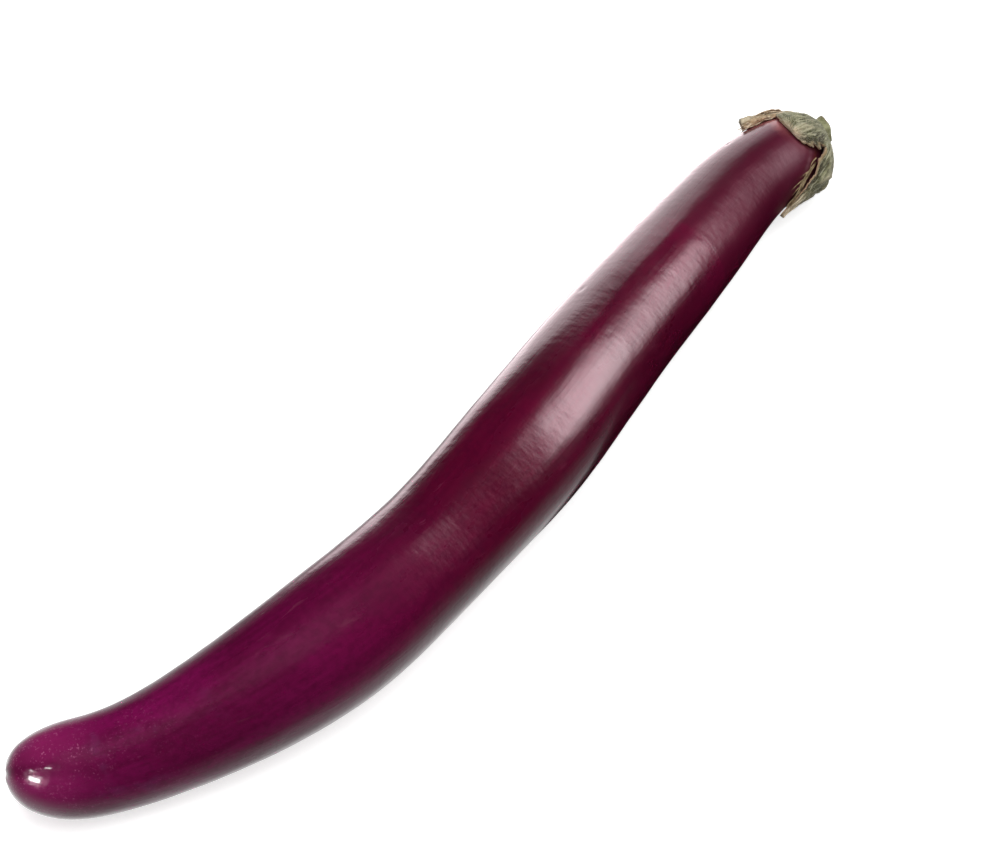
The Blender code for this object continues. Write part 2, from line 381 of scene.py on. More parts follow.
class Spline:
    """A natural cubic spline: smooth in curvature, so reflections run over it without a kink."""

    def __init__(self, knots, values):
        step = np.diff(knots)
        slope = np.diff(values) / step
        system, side = np.eye(len(knots)), np.zeros(len(knots))
        for i in range(1, len(knots) - 1):
            system[i, i - 1 : i + 2] = step[i - 1], 2 * (step[i - 1] + step[i]), step[i]
            side[i] = 6 * (slope[i] - slope[i - 1])
        bend = np.linalg.solve(system, side)
        self.knots = [float(knot) for knot in knots]
        self.terms = [
            (
                float(values[i]),
                float(slope[i] - step[i] * (2 * bend[i] + bend[i + 1]) / 6),
                float(bend[i] / 2),
                float((bend[i + 1] - bend[i]) / (6 * step[i])),
            )
            for i in range(len(step))
        ]

    def __call__(self, at):
        i = min(max(bisect.bisect_right(self.knots, at) - 1, 0), len(self.terms) - 1)
        t = at - self.knots[i]
        a, b, c, d = self.terms[i]
        return a + t * (b + t * (c + t * d))


class Fruit:
    """The skin as a surface, in millimetres."""

    def __init__(self):
        x, y, diameter, gap = np.array(FRUIT_STATIONS).T
        knots = np.concatenate([[0.0], np.cumsum(np.hypot(np.diff(x), np.diff(y)))])
        self.length = float(knots[-1])
        self.x, self.y, self.gap = Spline(knots, x), Spline(knots, y), Spline(knots, gap)
        self.body = Spline(knots, diameter / 2)
        self.inward = [60 * (i / 400) ** 2 for i in range(401)]
        radii = [self.radius(self.length - inward) for inward in self.inward]
        self.over_skin = np.concatenate([[0.0], np.cumsum(np.hypot(np.diff(self.inward), np.diff(radii)))])

    def radius(self, along):
        blossom = min(max(along / BLOSSOM_CAP, 0), 1)
        stem = min(max((self.length - along) / STEM_CAP, 0), 1)
        rounding = (1 - (1 - blossom) ** BLOSSOM_BLUNTNESS) * (1 - (1 - stem) ** STEM_BLUNTNESS)
        return self.body(along) * math.sqrt(rounding)

    def section(self, along, around):
        return 1 + FLATTENING * math.cos(2 * around) + LOBING * math.cos(3 * around + LOBE_TWIST * along)

    def middle(self, along):
        height = self.body(along) * self.section(along, math.pi) + self.gap(along) - FRUIT_SINK
        return Vector((self.x(along), self.y(along), height))

    def axes(self, along):
        ahead = self.middle(min(along + 0.5, self.length))
        forward = (ahead - self.middle(max(along - 0.5, 0))).normalized()
        across = UP.cross(forward).normalized()
        return forward, forward.cross(across), across

    def ring(self, along):
        """The middle, the axes, and the radius with its slope: all that a ring of points shares."""
        before, after = max(along - 0.05, 0.0), min(along + 0.05, self.length)
        slope = (self.radius(after) - self.radius(before)) / (after - before)
        return self.middle(along), self.axes(along), self.radius(along), slope

    def point(self, along, around, height=0.0, ring=None):
        middle, (forward, upward, across), radius, slope = ring or self.ring(along)
        outward = upward * math.cos(around) + across * math.sin(around)
        normal = (outward - forward * slope).normalized()
        return middle + outward * (radius * self.section(along, around)) + normal * height

    def from_stem(self, distance, around, height=0.0):
        """A point at a distance over the skin from the middle of the stem end."""
        inward = float(np.interp(distance, self.over_skin, self.inward))
        return self.point(self.length - inward, around, height)


fruit = Fruit()
print("length along the middle line", round(fruit.length, 1), "mm")

# %% [markdown]
# ## The calyx's outline
#
# The calyx is the green cap under the stem. It parts into six sepals. On this fruit it has dried: the sepals are
# narrow, wrinkled and of unequal length, and the longest hangs down with a thin tip. Each notch between two sepals
# has an angle round the stem and a depth over the skin, and each sepal has a length and a way of curling.
# The outline comes before the skin, because the skin's colour changes with the distance from the calyx.

# %% Notches and sepals
NOTCHES = (  # angle from the top, depth over the skin, how far the dry cup stands off the skin
    (-51.0, 12.5, 2.4),
    (38.0, 17.0, 0.0),
    (84.0, 15.0, 0.0),
    (132.0, 14.5, 0.0),
    (182.0, 14.0, 0.4),
    (232.0, 14.5, 3.0),
)
SEPALS = (  # length, narrowing, arch, tip lift, tip sway
    (19.5, 0.45, 0.2, 0.3, 0.0),
    (26.5, 0.5, 0.2, 0.5, -2.0),
    (33.0, 1.1, 0.7, 1.4, -4.0),
    (27.0, 0.9, 0.4, 0.2, 5.0),
    (31.0, 1.1, 0.9, 0.6, -5.0),
    (36.5, 1.5, 0.6, 0.2, -18.0),
)
NEXT_NOTCHES = NOTCHES[1:] + ((NOTCHES[0][0] + 360, *NOTCHES[0][1:]),)
TIP_HALF_WIDTH = 0.5
HUB_RADIUS, HUB_HEIGHT, HUB_HOLLOW = 5.2, 1.3, 0.5
CUP_THICKNESS, BLADE_THICKNESS, MIDRIB = 1.1, 0.8, 0.35
FIT_GAP = 0.35


def radius_at(reach):
    """The fruit's radius at a distance over the skin from the middle of the stem end."""
    return fruit.radius(fruit.length - float(np.interp(reach, fruit.over_skin, fruit.inward)))


def sepal_at(which, in_cup, t, across, ragged=0.0):
    """Where a point of one sepal lies: its distance over the skin and its angle in radians."""
    (low_angle, low_depth, _), (high_angle, high_depth, _) = NOTCHES[which], NEXT_NOTCHES[which]
    length, narrowing, _, _, sway = SEPALS[which]
    share = abs(across)
    depth = low_depth + (high_depth - low_depth) * (across + 1) / 2 + (1 - share**2) * 1.5
    reach = HUB_RADIUS + (depth - HUB_RADIUS) * in_cup + (length - depth) * t
    taper = (1 - t) ** narrowing
    half = math.radians(high_angle - low_angle) / 2 * taper + TIP_HALF_WIDTH / radius_at(reach) * (1 - taper)
    around = math.radians((high_angle + low_angle) / 2 + sway * t**1.5) + across * half * (1 + ragged)
    return reach, around


edge_points = []
for which in range(6):
    for across in (-1.0, 1.0):
        for step in range(25):
            reach, around = sepal_at(which, 1.0, step / 24, across)
            edge_points.append(fruit.from_stem(reach, around))
edge_points = np.array(edge_points)
print("calyx outline", len(edge_points), "points")

# %% [markdown]
# ## The skin as a mesh
#
# A glossy skin shows every small dent in its highlight, so a plain swept tube looks like plastic. Rings close
# together leave room for slow swells, long shallow grooves and the pucker round the blossom scar. The mesh also
# carries five stored values for the finish: the skin rolled out straight, the distance from the calyx's edge, the
# distance from the blossom scar, and how deep a point lies in a small pit or in the crease beside the calyx.

# %% Build the skin
SKIN_SIDES = 160
SCAR_RADIUS = 1.7
HIDDEN_END, SWELL_RUN = 14, 12  # the skin under the calyx stays plain, and the swells set in over a run


def swell(along, rolled):
    """How far the living skin strays from the smooth form: slow swells, long grooves and small dents."""
    slow = noise.noise(Vector((along * 0.045, rolled[1] * 0.05, rolled[2] * 0.05 + 7.0)))
    groove = noise.noise(Vector((along * 0.012, rolled[1] * 0.16, rolled[2] * 0.16 + 31.0)))
    small = noise.noise(Vector((along * 0.16, rolled[1] * 0.2, rolled[2] * 0.2 + 3.0)))
    return 0.16 * slow + 0.14 * groove + 0.06 * small


MARKS = (  # pits, and one low bump: along, angle in radians, radius, depth
    (234.0, 0.72, 1.1, 0.30),
    (268.0, 0.95, 1.3, -0.20),
    (312.0, 0.70, 0.8, 0.30),
    (221.0, -0.28, 0.9, 0.12),
)
CREASE = (329.0, -1.04, 0.9)  # along, angle, half width


def marks_at(along, around, radius):
    """How deep the small pits are at a point, and a number from 0 to 1 for the soft crease beside the calyx."""
    pits = crease_and_highlight = 0.0
    for place, angle, size, depth in MARKS:
        gap = math.hypot(along - place, (around - angle) * radius)
        if gap < 4 * size:
            pits += depth * math.exp(-((gap / size) ** 2))
    place, angle, size = CREASE
    run = (along - place) / 3.0
    if abs(run) < 2.5:
        gap = (around - angle - 0.22 * run - 0.05 * run * run) * radius
        crease_and_highlight = math.exp(-((gap / size) ** 2) - run * run)
    return pits, crease_and_highlight


def build_skin():
    cap = [BLOSSOM_CAP * (i / 40) ** 2 for i in range(1, 40)]
    end = [fruit.length - STEM_CAP * (i / 16) ** 2 for i in range(15, 0, -1)]
    body = [float(v) for v in np.linspace(BLOSSOM_CAP, fruit.length - STEM_CAP, 300)]
    scar_middle = fruit.middle(0)
    points, rolled, distances, marks = [], [], [], []
    for along in cap + body + end:
        ring = fruit.ring(along)
        clear = min(max((fruit.length - along - HIDDEN_END) / SWELL_RUN, 0), 1)
        for i in range(SKIN_SIDES):
            around = 2 * math.pi * i / SKIN_SIDES
            radius = max(ring[2], 0.01)
            flat = (along, radius * math.cos(around), radius * math.sin(around))
            plain = fruit.point(along, around, 0.0, ring)
            distance = (plain - scar_middle).length
            pucker = -0.35 * math.exp(-((distance / SCAR_RADIUS) ** 2))
            pucker += 0.10 * math.cos(5 * around + 0.6) * math.exp(-(((distance - 2.6) / 1.8) ** 2))
            height = swell(along, flat) * clear * min(distance / 8, 1) + pucker - 0.08
            pits, crease_and_highlight = marks_at(along, around if around < math.pi else around - 2 * math.pi, radius)
            marks.append((max(pits, 0.0), crease_and_highlight))
            height -= pits + crease_and_highlight * 0.25
            point = fruit.point(along, around, height, ring)
            point.z = max(point.z, 0.0)
            points.append(point)
            rolled.append(flat)
            distances.append(distance)
    rings = len(cap + body + end)
    faces = []
    for a in range(0, (rings - 1) * SKIN_SIDES, SKIN_SIDES):
        b = a + SKIN_SIDES
        for i in range(SKIN_SIDES):
            j = (i + 1) % SKIN_SIDES
            faces.append((a + i, a + j, b + j, b + i))
    first, last = len(points), len(points) + 1
    points += [fruit.middle(0) + fruit.axes(0)[0] * 0.4, fruit.middle(fruit.length)]
    rolled += [(0.0, 0.0, 0.0), (fruit.length, 0.0, 0.0)]
    distances += [0.0, fruit.length]
    marks += [(0.0, 0.0)] * 2
    for i in range(SKIN_SIDES):
        j = (i + 1) % SKIN_SIDES
        faces.append((first, j, i))
        faces.append((last, (rings - 1) * SKIN_SIDES + i, (rings - 1) * SKIN_SIDES + j))
    return points, rolled, distances, marks, faces


def store(mesh, name, values):
    """Keeps a number or a vector on each vertex, for the finish to read."""
    values = np.array(values, float)
    kind = "FLOAT" if values.ndim == 1 else "FLOAT_VECTOR"
    key = "value" if values.ndim == 1 else "vector"
    mesh.attributes.new(name, kind, "POINT").data.foreach_set(key, values.ravel())


def new_piece(name, points, faces, finish, node=None):
    """A smooth-shaded piece that rides on the fruit's body, from points in millimetres."""
    mesh = bpy.data.meshes.new(name)
    mesh.from_pydata([tuple(Vector(p) * MM) for p in points], [], faces)
    mesh.validate()
    mesh.shade_smooth()
    mesh.materials.append(finish)
    piece = bpy.data.objects.new(name, mesh)
    bpy.context.scene.collection.objects.link(piece)
    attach(piece, "root")
    if node:
        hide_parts(node)
    return piece


skin_points, skin_rolled, scar_distances, skin_marks, skin_faces = build_skin()
flat_points = np.array([tuple(p) for p in skin_points])
calyx_distances = np.full(len(skin_points), 99.0)
near_stem = np.array([r[0] for r in skin_rolled]) > fruit.length - 70
gaps = np.linalg.norm(flat_points[near_stem, None, :] - edge_points[None, :, :], axis=2).min(axis=1)
calyx_distances[near_stem] = gaps
print("skin", len(skin_points), "points")

# %% [markdown]
# ## The skin's finish
#
# Eggplant skin is a thin, waxy, deep purple layer. Close up it isn't even: faint streaks run lengthwise, the
# colour turns to magenta at the blossom end, where pale pores show as specks, and to dark wine at the neck. Next
# to the calyx there is a rosy flush on the top and a thin red-brown rim. All of that is colour. The shine has a
# life of its own: the wax is thick in some places and rubbed in others, so the roughness wanders, a very low bump
# breaks the highlight's edge, and a thin clear coat makes the blossom end the shiniest place.

# %% Mix the skin
skin, shader, start = new_finish(
    "eggplant_skin", IOR=1.36, Coat_Roughness=0.06, Coat_IOR=1.4, Specular_IOR_Level=0.45
)
rolled = attribute(start, "rolled", 1)
from_calyx = attribute(start, "from_calyx", 2)
from_scar = attribute(start, "from_scar", 2)
pits = attribute(start, "pits", 2)
crease_and_highlight = attribute(start, "crease_and_highlight", 2)
along = rolled.part(0)

patches = rolled.stretch(0.35, 1.0, 1.0).cloud(0.055, 3.0, 0.55)
streaks = rolled.stretch(0.05, 1.0, 1.0).cloud(0.55, 3.0, 0.6)
mottle = rolled.cloud(0.5, 3.0, 0.6)
toward_stem = (along + patches * 60 - 30).fade(40.0, 165.0)
dark_skin = toward_stem.blend(paint(90, 7, 52), paint(66, 2, 27))
light_skin = toward_stem.blend(paint(122, 12, 78), paint(88, 4, 40))
base = (patches.fade(0.36, 0.66) * 0.7 + streaks.fade(0.35, 0.75) * 0.3).blend(dark_skin, light_skin)
base = (mottle.fade(0.62, 0.3) * 0.30).blend(base, paint(58, 3, 32))

tip = (from_scar + mottle * 10 - 5).fade(34.0, 6.0)
base = (tip * 0.75 * patches.fade(0.25, 0.6)).blend(base, paint(158, 42, 104))
pores = rolled.cloud(1.6, 3.0, 0.6)
crowd = rolled.cloud(0.16, 2.0)
specks = pores.fade(0.58, 0.68) * (tip * 0.7 + from_scar.fade(75.0, 10.0) * 0.25) * crowd.fade(0.36, 0.60)
base = specks.blend(base, paint(206, 112, 160))
bloom = (rolled.cloud(0.09, 3.0, 0.6) - from_scar * 0.0015).fade(0.50, 0.66) * from_scar.fade(110.0, 25.0)
base = (bloom * 0.14).blend(base, paint(120, 72, 118))

shaded = from_calyx + (mottle - 0.5) * 3.0 + (streaks - 0.5) * 4.0
base = (from_calyx.fade(70.0, 25.0) * 0.6).blend(base, paint(54, 2, 22))
base = (shaded.fade(14.0, 3.0) * 0.4).blend(base, paint(84, 26, 46))
top_side = rolled.part(2).fade(-4.0, 5.0) * 0.50 + 0.06
base = (shaded.fade(4.6, 0.8) * top_side).blend(base, paint(176, 104, 104))
base = ((from_calyx + (mottle - 0.5) * 0.8).fade(1.1, 0.2) * 0.85).blend(base, paint(92, 40, 34))

scar = (from_scar + (mottle - 0.5) * 0.8).fade(SCAR_RADIUS + 0.3, SCAR_RADIUS - 0.5)
base = scar.blend(base, paint(142, 108, 78))

scuff_noise = rolled.stretch(0.25, 1.0, 1.0).cloud(0.35, 4.0, 0.65, 0.6)
scuffs = scuff_noise.fade(0.62, 0.80)
base = (scuffs * 0.3).blend(base, paint(120, 52, 76))
base = (pits * 2.0).blend(base, paint(48, 20, 26))
# painted highlight: the crease is painted pale along its length, for the light it catches
base = (crease_and_highlight * 0.5).blend(base, paint(150, 104, 116))

wax = rolled.stretch(0.5, 1.0, 1.0).cloud(0.14, 3.0, 0.6)
front_side = rolled.part(2).fade(9.0, 0.0)
dull = from_calyx.fade(58.0, 22.0) * front_side
roughness = 0.14 + wax * 0.16 + front_side * 0.07 + dull * 0.10
roughness = roughness + scar * 0.4 + scuffs * 0.15 - tip * 0.06 - crease_and_highlight * 0.1
peel = rolled.stretch(1.0, 0.5, 0.5).cloud(0.55, 2.0, 0.5)
lines = rolled.stretch(0.06, 1.0, 1.0).cloud(1.1, 2.0, 0.5)
relief = peel + lines * 0.5 + pores * tip * 0.7
bump = start.node("ShaderNodeBump", {}, {"Strength": 0.65, "Distance": 0.00014, "Height": relief})
coat = (0.25 + tip * 0.75) * (1 - dull) * (1 - scar)
connect(shader, Base_Color=base, Roughness=roughness, Coat_Weight=coat, Normal=bump)

eggplant = new_piece("eggplant", skin_points, skin_faces, skin, "fruit")
store(eggplant.data, "rolled", skin_rolled)
store(eggplant.data, "from_calyx", calyx_distances)
store(eggplant.data, "from_scar", scar_distances)
store(eggplant.data, "pits", [pits for pits, crease_and_highlight in skin_marks])
store(eggplant.data, "crease_and_highlight", [crease_and_highlight for pits, crease_and_highlight in skin_marks])
print("skin finish with", len(skin.node_tree.nodes), "nodes")

# %% [markdown]
# ## The calyx as a mesh
#
# A dry sepal is a leathery blade with sharp fibres that run from the stem to its tip. As it dries, the soft tissue
# between the fibres sinks, so the face is all ridges and furrows. Each sepal is a pair of grids, an outer and an
# inner face, sewn together along a ragged edge. The fibres come from noise on a drum round the stem: the drum's
# axis is squeezed, so the noise draws long lines, and neighbouring sepals meet without a seam. The sepal at the
# back has split into thin sheets, which a sawtooth across its width turns into ledges.

# %% Build the calyx
COLUMNS, CUP_ROWS, BLADE_ROWS = 60, 20, 56
LAYERED_SEPAL = 1
DRUM_RADIUS = 11.0


def fibre_place(which, across, reach):
    """A place on the drum. It moves little along a fibre and a lot across it."""
    low, high = NOTCHES[which][0], NEXT_NOTCHES[which][0]
    turn = math.radians((low + high) / 2 + across * (high - low) / 2)
    return Vector((DRUM_RADIUS * math.cos(turn), DRUM_RADIUS * math.sin(turn), reach * 0.17))


def sepal_relief(which, in_cup, t, across, fibre):
    """How high the dry face stands over the plain blade."""
    share = abs(across)
    fold = noise.noise(fibre * 0.42)
    rib = max(1 - abs(noise.noise(fibre * 0.70 + Vector((5, 1, 8)))) * 4.5, 0)
    fine = noise.noise(fibre * 1.9 + Vector((2, 7, 4)))
    relief = fold * 1.0 + rib * 0.50 + fine * 0.34
    if which == LAYERED_SEPAL:
        sheet = (across + 1) * 1.9 + noise.noise(Vector((t * 5, 3.0, across * 0.8))) * 0.55
        relief += (1 - sheet % 1.0) * (0.55 + 1.0 * t) * in_cup
        relief += 0.7 * math.sin(math.pi * min(t * 0.62, 1)) * (1 - share**3)
    return relief * in_cup**0.7 * (1 - share**9)


def build_sepal(which):
    """The outer and inner face of one sepal, and for each outer point what the finish needs to know."""
    _, _, arch, lift, _ = SEPALS[which]
    outer, inner, notes = [], [], []
    for row in range(CUP_ROWS + BLADE_ROWS + 1):
        in_cup = min(row / CUP_ROWS, 1.0)
        t = max(row - CUP_ROWS, 0) / BLADE_ROWS
        outer_row, inner_row, note_row = [], [], []
        for column in range(COLUMNS + 1):
            across = 2 * column / COLUMNS - 1
            share = abs(across)
            side = 1 if across > 0 else -1
            torn = noise.noise(Vector((t * 7 + which * 13.7, side * 4.1, 0.3))) * 0.30
            torn += noise.noise(Vector((t * 26 + which * 5.1, side * 8.3, 1.9))) * 0.22
            reach, around = sepal_at(which, in_cup, t, across, torn * share**2 * min(t * 6, 1))
            low = FIT_GAP * 0.5 + arch * math.sin(math.pi * t) ** 2 * (1 - 0.3 * share) + lift * t**2
            slack = NOTCHES[which][2] + (NEXT_NOTCHES[which][2] - NOTCHES[which][2]) * (across + 1) / 2
            low += slack * in_cup * (1 - t) ** 1.5
            low += 0.5 * share**5 * math.sin(math.pi * min(t * 1.2, 1)) ** 2
            thick = CUP_THICKNESS + (BLADE_THICKNESS - CUP_THICKNESS) * max(in_cup * 0.5, t)
            thick += MIDRIB * (1 - share) ** 2 * (1 - t) + HUB_HEIGHT * (1 - in_cup) ** 2.2
            thick *= 1 - 0.55 * share**6 * min(t * 8, 1)
            fibre = fibre_place(which, across, reach)
            relief = sepal_relief(which, in_cup, t, across, fibre)
            inner_row.append(fruit.from_stem(reach, around, low))
            outer_row.append(fruit.from_stem(reach, around, low + max(thick + relief, 0.3)))
            dryness = (0.55 + 0.45 * t if which == LAYERED_SEPAL else 0.8 * t**1.5) * in_cup
            note_row.append((dryness, share if t > 0 else share * 0.3, relief, *fibre))
        outer.append(outer_row)
        inner.append(inner_row)
        notes.append(note_row)
    return outer, inner, notes


def build_calyx():
    points, notes, faces = [], [], []
    shared = {}

    def number(point, note):
        """Points that two sepals share are kept once."""
        key = tuple(round(v, 2) for v in point)
        if key not in shared:
            shared[key] = len(points)
            points.append(point)
            notes.append(note)
        return shared[key]

    outer_hub, inner_hub = [], []
    for which in range(6):
        outer, inner, facts = build_sepal(which)
        top = [[number(p, (0.0, *n)) for p, n in zip(row, fact_row)] for row, fact_row in zip(outer, facts)]
        bottom = [[number(p, (1.0, *n)) for p, n in zip(row, fact_row)] for row, fact_row in zip(inner, facts)]
        outer_hub += top[0][:-1]
        inner_hub += bottom[0][:-1]
        for grid, flip in ((top, False), (bottom, True)):
            for a, b in zip(grid, grid[1:]):
                for i in range(COLUMNS):
                    quad = (a[i], a[i + 1], b[i + 1], b[i])
                    faces.append(quad[::-1] if flip else quad)
        rows = range(CUP_ROWS, CUP_ROWS + BLADE_ROWS + 1)
        edge = [(top[r][0], bottom[r][0]) for r in rows]
        edge += [(top[-1][c], bottom[-1][c]) for c in range(1, COLUMNS + 1)]
        edge += [(top[r][-1], bottom[r][-1]) for r in reversed(rows[:-1])]
        for (a, b), (c, d) in zip(edge, edge[1:]):
            faces.append((a, c, d, b))
    pole = fruit.middle(fruit.length) + fruit.axes(fruit.length)[0] * (FIT_GAP + HUB_HOLLOW)
    hub_top = sum((points[i] for i in outer_hub), Vector()) / len(outer_hub)
    points += [pole, hub_top]
    notes += [(1.0,) + (0.0,) * 6, (0.0,) * 7]
    for centre, ring, flip in ((len(points) - 2, inner_hub, True), (len(points) - 1, outer_hub, False)):
        for a, b in zip(ring, ring[1:] + ring[:1]):
            faces.append((centre, a, b) if flip else (centre, b, a))
    faces = [tuple(dict.fromkeys(face)) for face in faces]
    return points, notes, [face for face in faces if len(face) > 2], hub_top


calyx_points, calyx_notes, calyx_faces, hub_top = build_calyx()
print("calyx", len(calyx_points), "points,", len(calyx_faces), "faces")

# %% [markdown]
# ## The calyx's finish
#
# Fresh, it would be green and shiny. Dried, it is a dull grey-green that turns to tan where the sheets have split
# and towards the tips. The furrows are painted dark, as painted shade and dirt, and so are the fine splits between
# the fibres, as painted shade. The ridges and the edges of the split sheets are painted pale, partly as rubbed wear
# and partly as painted highlight. Fine felt covers it all.
# The felt scatters light at grazing angles, which is what the sheen of the Principled shader is for. Relief and
# fibres are stored on the mesh, so the colour and the form can't slip apart.

# %% Mix the calyx
calyx_finish, shader, start = new_finish(
    "dry_calyx", IOR=1.45, Specular_IOR_Level=0.25, Sheen_Weight=0.25, Sheen_Roughness=0.5,
    Sheen_Tint=(0.85, 0.88, 0.78, 1.0),
)
place = start.node("ShaderNodeTexCoord", {}, {}, 3).stretch(1000, 1000, 1000)
inside = attribute(start, "inside", 2)
dryness = attribute(start, "dryness", 2)
margin = attribute(start, "margin", 2)
relief = attribute(start, "relief", 2)
fibre = attribute(start, "fibre", 1)

tone = place.cloud(0.20, 3.0, 0.6)
felt = place.cloud(2.6, 3.0, 0.7)
threads = fibre.cloud(1.7, 4.0, 0.7)
green = tone.fade(0.36, 0.66).blend(paint(82, 82, 58), paint(140, 140, 108))
green = (threads.fade(0.48, 0.60) * 0.75).blend(green, paint(190, 186, 158))
tan = threads.fade(0.38, 0.60).blend(paint(168, 138, 108), paint(238, 220, 194))
colour = (dryness + (tone - 0.5) * 0.5).fade(0.10, 0.75).blend(green, tan)
# painted highlight and rubbed wear: the ridges, and the edges of the split sheets stored as relief, turn pale
rubbed_and_lit = (relief + (felt - 0.5) * 0.4).fade(0.25, 0.85)
colour = (rubbed_and_lit * 0.45).blend(colour, paint(204, 194, 164))
furrow = (relief + (threads - 0.5) * 0.9).fade(0.05, -0.35)
colour = (furrow * (0.85 - dryness * 0.3)).blend(colour, paint(50, 44, 32))
# painted shade: the fine splits between the fibres turn dark
split_shade = threads.fade(0.43, 0.34)
colour = (split_shade * (0.6 - dryness * 0.2)).blend(colour, paint(66, 50, 36))
torn = (margin + (tone - 0.5) * 0.4).fade(0.80, 0.99)
colour = (torn * 0.7).blend(colour, paint(172, 144, 112))
colour = (inside * 0.85).blend(colour, paint(186, 140, 118))

height = felt * 0.5 + threads * 1.0
bump = start.node("ShaderNodeBump", {}, {"Strength": 0.8, "Distance": 0.0003, "Height": height})
connect(shader, Base_Color=colour, Roughness=0.72 + felt * 0.2, Normal=bump)

calyx = new_piece("withered_calyx", calyx_points, calyx_faces, calyx_finish, "calyx")
for position, name in enumerate(("inside", "dryness", "margin", "relief")):
    store(calyx.data, name, [note[position] for note in calyx_notes])
store(calyx.data, "fibre", [note[4:] for note in calyx_notes])
print("calyx finish with", len(calyx_finish.node_tree.nodes), "nodes")

# %% [markdown]
# ## Split sheets
#
# On the sepal at the back the leathery blade has come apart into thin sheets, one over the other, each torn a
# little further back than the one below. Seen from the front they are a stack of pale edges with dark gaps, and
# the edges are painted paler still, as a painted highlight. Every sheet is a thin closed shell over the same
# sepal, lifted a bit more than the last.

# %% Build the split sheets
SHEETS, SHEET_ROWS, SHEET_COLUMNS, SHEET_THICKNESS = 5, 70, 26, 0.22
SHEET_ROOT, BLADE_ROOT = 12.5, 17.0  # distances over the skin where a sheet and the sepal's blade begin


def build_sheets():
    points, notes, faces = [], [], []
    length = SEPALS[LAYERED_SEPAL][0]
    for sheet in range(SHEETS):
        grids = []
        for layer in (0, 1):
            grid = []
            for row in range(SHEET_ROWS + 1):
                along = row / SHEET_ROWS
                line = []
                for column in range(SHEET_COLUMNS + 1):
                    back = column / SHEET_COLUMNS
                    ragged = noise.noise(Vector((along * 4 + sheet * 3.1, 0.5, 2.0))) * 0.30
                    ragged += noise.noise(Vector((along * 15 + sheet * 7.7, 4.5, 2.0))) * 0.16
                    across = -1.10 + 0.15 * sheet + ragged + back * (1.45 - 0.12 * sheet)
                    jag = noise.noise(Vector((across * 5 + sheet * 2.3, 8.0, 1.0))) * 3.4
                    reach = SHEET_ROOT + (length + 0.6 - sheet * 0.7 + jag - SHEET_ROOT) * along
                    share = min(max((reach - BLADE_ROOT) / (length - BLADE_ROOT), 0.0), 1.0)
                    _, around = sepal_at(LAYERED_SEPAL, 1.0, share * 0.72, across)
                    lift = 0.25 + sheet * 0.62 * (0.35 + 0.65 * math.sin(math.pi * min(along * 0.75, 1)))
                    lift += 0.55 * (1 - back) ** 3 * noise.noise(Vector((along * 6, sheet * 5.0, 0.0)))
                    lift += 0.30 * noise.noise(Vector((reach * 0.35, across * 4, sheet * 3.0)))
                    height = max(lift, 0.15) + SHEET_THICKNESS * layer
                    fibre = fibre_place(LAYERED_SEPAL, across, reach) + Vector((0, 0, sheet * 4.0))
                    # painted highlight: the front and tip edges of each sheet are stored as relief, so the finish
                    # paints them pale
                    edge = max(1 - back * 5, (along - 0.9) * 8, 0.0)
                    line.append(len(points))
                    points.append(fruit.from_stem(reach, around, height))
                    notes.append((0.0 if layer else 0.4, 1.0, edge * 0.9, 0.45 * edge + 0.1, *fibre))
                grid.append(line)
            grids.append(grid)
        under, over = grids
        for grid, flip in ((over, False), (under, True)):
            for a, b in zip(grid, grid[1:]):
                for i in range(SHEET_COLUMNS):
                    quad = (a[i], a[i + 1], b[i + 1], b[i])
                    faces.append(quad[::-1] if flip else quad)
        rim = [(r, 0) for r in range(SHEET_ROWS + 1)]
        rim += [(SHEET_ROWS, c) for c in range(1, SHEET_COLUMNS + 1)]
        rim += [(r, SHEET_COLUMNS) for r in range(SHEET_ROWS - 1, -1, -1)]
        rim += [(0, c) for c in range(SHEET_COLUMNS - 1, -1, -1)]
        for (r, c), (r2, c2) in zip(rim, rim[1:]):
            faces.append((over[r][c], over[r2][c2], under[r2][c2], under[r][c]))
    return points, notes, faces


sheet_points, sheet_notes, sheet_faces = build_sheets()
sheets = new_piece("split_sheets", sheet_points, sheet_faces, calyx_finish)
for position, name in enumerate(("inside", "dryness", "margin", "relief")):
    store(sheets.data, name, [note[position] for note in sheet_notes])
store(sheets.data, "fibre", [note[4:] for note in sheet_notes])
print("split sheets with", len(sheet_faces), "faces")

# %% [markdown]
# ## Felt and loose fibres
#
# Two small things keep the calyx from looking cast. Short hairs stand all over it and blur its outline. And where
# the long sepal has frayed, single fibres have come loose and hang beside it. Both are thin closed spikes, made
# with a seeded random generator, so that they grow the same every time.

# %% Grow hairs and fibres
HAIRS = 9000
LONG_SEPAL, SIDE_SEPAL = 5, 4
FRAYED = (LONG_SEPAL,) * 17 + (SIDE_SEPAL,) * 3 + (LAYERED_SEPAL,) * 6  # the sepal that each loose fibre hangs on
chance = random.Random(7)


def spike(points, faces, path, radii, sides=3):
    """A thin closed spike along a path of points, with its last point as the tip."""
    first = len(points)
    for place, ahead, radius in zip(path[:-1], path[1:], radii):
        turn = (ahead - place).to_track_quat("Z", "Y")
        for i in range(sides):
            angle = 2 * math.pi * i / sides
            points.append(place + turn @ Vector((radius * math.cos(angle), radius * math.sin(angle), 0)))
    points.append(path[-1])
    for ring in range(len(path) - 2):
        a = first + ring * sides
        for i in range(sides):
            j = (i + 1) % sides
            faces.append((a + i, a + j, a + sides + j, a + sides + i))
    a = first + (len(path) - 2) * sides
    faces.extend((a + i, a + (i + 1) % sides, len(points) - 1) for i in range(sides))
    faces.append(tuple(first + i for i in reversed(range(sides))))


